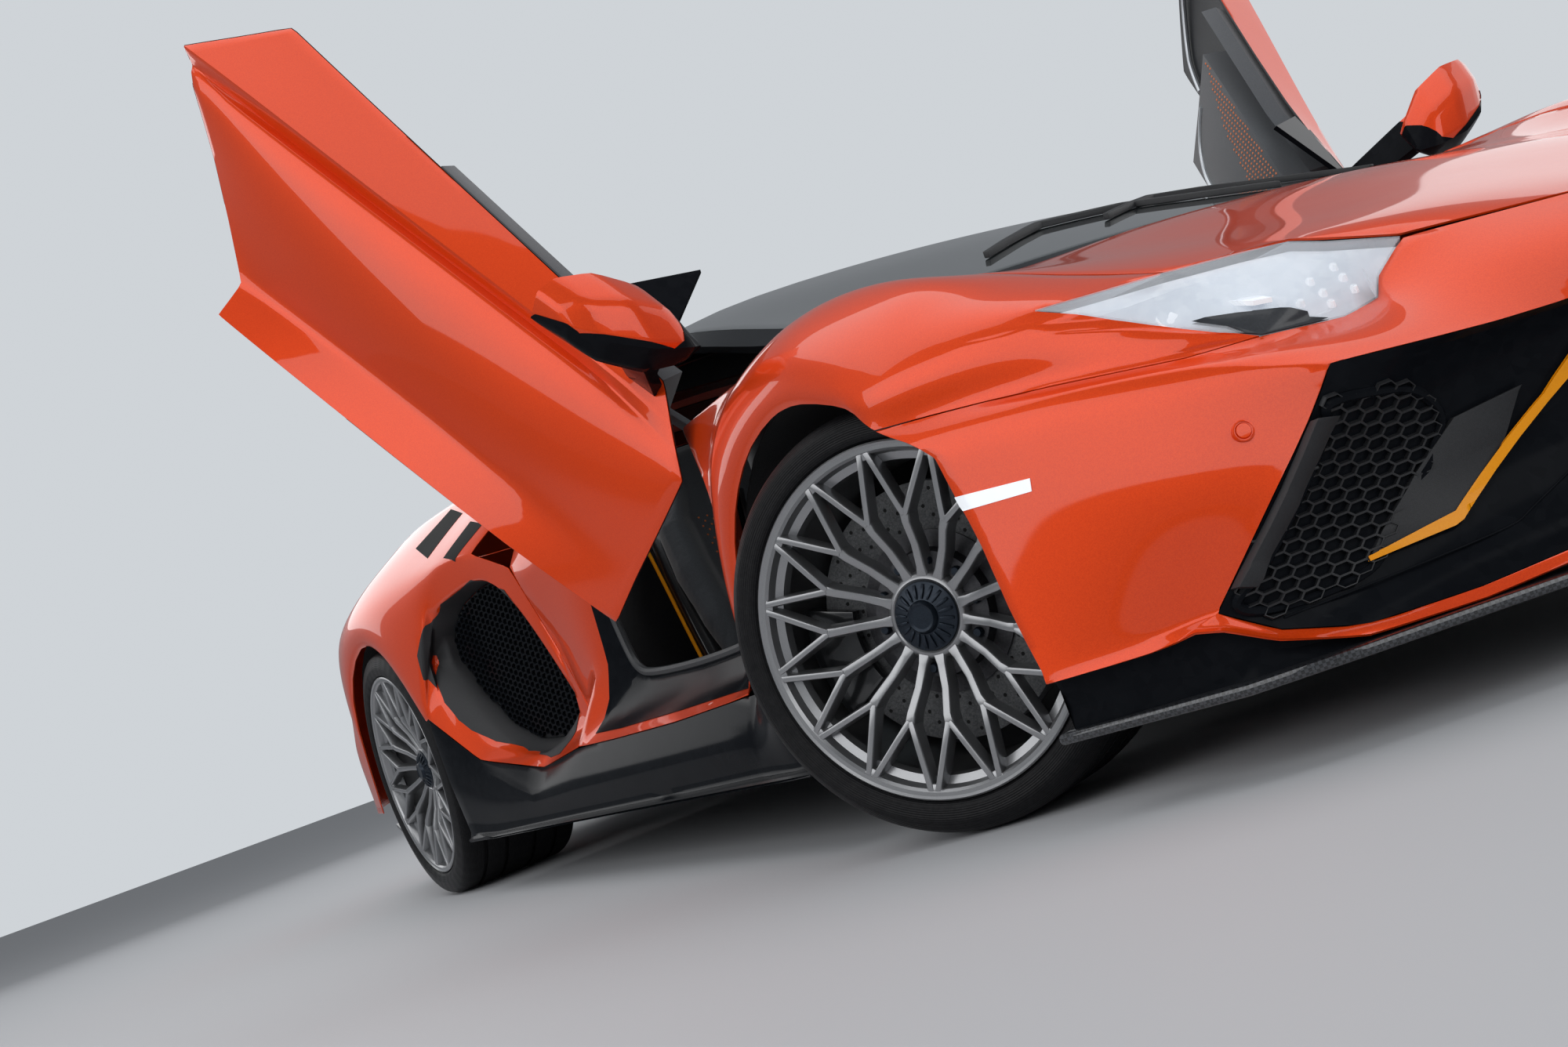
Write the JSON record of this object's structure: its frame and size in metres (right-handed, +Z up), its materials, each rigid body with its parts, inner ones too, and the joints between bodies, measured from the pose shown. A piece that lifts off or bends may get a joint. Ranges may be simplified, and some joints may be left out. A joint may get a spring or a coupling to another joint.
{
  "type": "supercar",
  "caption": "Low mid-engined supercar with a wedge nose, large side intakes and doors that swing up on tilted hinges, stored with its doors open.",
  "frame": {"origin": "on the ground, at the middle of the car's length and width", "axes": "+X out of the nose, +Y to the car's left, +Z up"},
  "size_m": [4.8682, 2.8276, 1.9148],
  "materials": {
    "body_paint": "pearl orange paint under a gloss clear coat",
    "gloss_black": "gloss black paint",
    "carbon": "clear-coated woven carbon fibre",
    "lamp_glass": "clear moulded lamp cover",
    "tinted_glass": "dark tinted glass",
    "roof_black": "gloss black paint",
    "frame_paint": "pearl orange paint",
    "suede": "dark suede-like cloth",
    "mirror_shell": "pearl orange cap over a gloss black shell",
    "mesh_black": "black moulded honeycomb",
    "matte_black": "dark satin",
    "engine_metal": "cast, satin",
    "exhaust_steel": "brushed, heat-tinted",
    "cabin_trim": "dark leather",
    "seat_trim": "dark leather and suede with an orange stripe",
    "suspension_metal": "forged, satin",
    "caliper_black": "gloss black",
    "wheel_metal": "satin titanium-grey paint",
    "tyre": "black rubber",
    "tail_lamp": "dark red lamp cover"
  },
  "bodies": {
    "car_body": {"cowl": "gloss_black", "dashboard": "cabin_trim", "diffuser": "carbon", "engine": "engine_metal", "exhaust": "exhaust_steel", "fascia_vanes": "gloss_black", "front_bumper": "body_paint", "front_fascia": "gloss_black", "front_wings": "body_paint", "headlamps": "lamp_glass", "intake_meshes": "mesh_black", "rear_bumper": "body_paint", "rear_calipers": "caliper_black", "rear_deck": "body_paint", "rear_grille": "mesh_black", "rear_wings": "body_paint", "rockers": "gloss_black", "roof": "roof_black", "seats": "seat_trim", "side_frames": "frame_paint", "splitter": "carbon", "steering_wheel": "cabin_trim", "suspension": "suspension_metal", "tail_lamps": "tail_lamp", "tub": "matte_black", "wheel_liners": "matte_black", "windscreen": "tinted_glass", "wipers": "gloss_black"},
    "front_lid": {"front_lid": "body_paint"},
    "engine_cover": {"engine_cover": "body_paint"},
    "door_left": {"door_skin_l": "body_paint", "door_trim_l": "suede", "quarter_light_l": "tinted_glass", "mirror_l": "mirror_shell"},
    "door_right": {"door_skin_r": "body_paint", "door_trim_r": "suede", "quarter_light_r": "tinted_glass", "mirror_r": "mirror_shell"},
    "knuckle_front_left": {"knuckle_fl": "caliper_black"},
    "knuckle_front_right": {"knuckle_fr": "caliper_black"},
    "wheel_front_left": {"wheel_fl": "wheel_metal", "tyre_fl": "tyre"},
    "wheel_front_right": {"wheel_fr": "wheel_metal", "tyre_fr": "tyre"},
    "wheel_rear_left": {"wheel_rl": "wheel_metal", "tyre_rl": "tyre"},
    "wheel_rear_right": {"wheel_rr": "wheel_metal", "tyre_rr": "tyre"}
  },
  "joints": [
    {"name": "door_left_hinge", "type": "hinge", "parent": "car_body", "child": "door_left", "pos_m": [0.818, 0.86, 0.773], "axis": [0, -0.9314, 0.3639], "range_deg": [0, 58.65]},
    {"name": "door_right_hinge", "type": "hinge", "parent": "car_body", "child": "door_right", "pos_m": [0.818, -0.86, 0.773], "axis": [0, -0.9314, -0.3639], "range_deg": [0, 58.65]},
    {"name": "front_lid_hinge", "type": "hinge", "parent": "car_body", "child": "front_lid", "pos_m": [1.115, 0, 0.813], "axis": [0, -1, 0], "range_deg": [0, 60]},
    {"name": "engine_cover_hinge", "type": "hinge", "parent": "car_body", "child": "engine_cover", "pos_m": [-0.475, 0, 1.1], "axis": [0, 1, 0], "range_deg": [0, 40]},
    {"name": "steer_left", "type": "hinge", "parent": "car_body", "child": "knuckle_front_left", "pos_m": [1.33, 0.8, 0.328], "axis": [0, 0, 1], "range_deg": [-61.6, 2.4]},
    {"name": "steer_right", "type": "hinge", "parent": "car_body", "child": "knuckle_front_right", "pos_m": [1.33, -0.8, 0.328], "axis": [0, 0, 1], "range_deg": [-61.6, 2.4]},
    {"name": "spin_front_left", "type": "hinge", "parent": "knuckle_front_left", "child": "wheel_front_left", "pos_m": [1.33, 0.8, 0.328], "axis": [-0.4939, 0.8695, 0], "continuous": true},
    {"name": "spin_front_right", "type": "hinge", "parent": "knuckle_front_right", "child": "wheel_front_right", "pos_m": [1.33, -0.8, 0.328], "axis": [-0.4939, 0.8695, 0], "continuous": true},
    {"name": "spin_rear_left", "type": "hinge", "parent": "car_body", "child": "wheel_rear_left", "pos_m": [-1.37, 0.8, 0.353], "axis": [0, 1, 0], "continuous": true},
    {"name": "spin_rear_right", "type": "hinge", "parent": "car_body", "child": "wheel_rear_right", "pos_m": [-1.37, -0.8, 0.353], "axis": [0, 1, 0], "continuous": true}
  ],
  "couplings": [
    {"joint": "steer_right", "follows": "steer_left", "ratio": 1}
  ]
}
